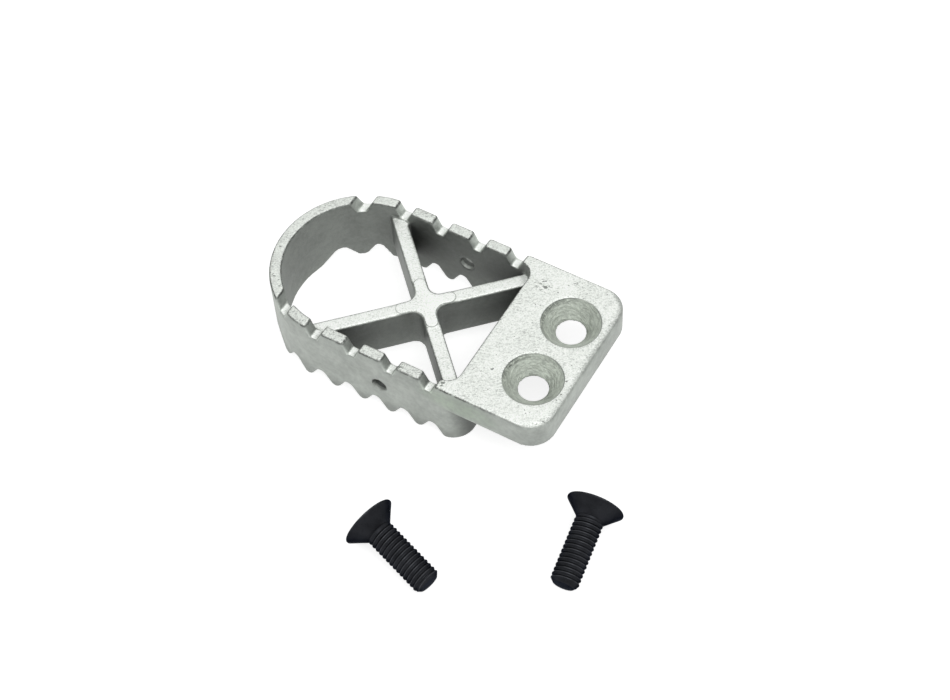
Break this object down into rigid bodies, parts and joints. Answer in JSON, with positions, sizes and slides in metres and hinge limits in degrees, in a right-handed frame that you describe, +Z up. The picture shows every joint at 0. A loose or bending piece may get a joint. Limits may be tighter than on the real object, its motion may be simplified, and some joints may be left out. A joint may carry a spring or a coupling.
{
  "type": "rear brake pedal step plate with countersunk screws",
  "caption": "Cast step plate of a rear brake pedal: toothed D-shaped wall, X brace and countersunk bolt plate, with its loose countersunk screws.",
  "frame": {"origin": "midway between the two bolt holes, on the face that the lever's end seats against", "axes": "+X from the rounded nose towards the bolted end, +Y towards the far side, +Z up out of the tread"},
  "size_m": [0.0934, 0.0741, 0.0174],
  "materials": {
    "blasted_casting": "bead-blasted stainless investment casting, with the tread and plate top ground brighter",
    "black_oxide": "black oxide on alloy steel, lightly oiled"
  },
  "bodies": {
    "root": {"pedal_tip": "blasted_casting", "plate_screw_1": "black_oxide", "plate_screw_2": "black_oxide"}
  },
  "joints": []
}
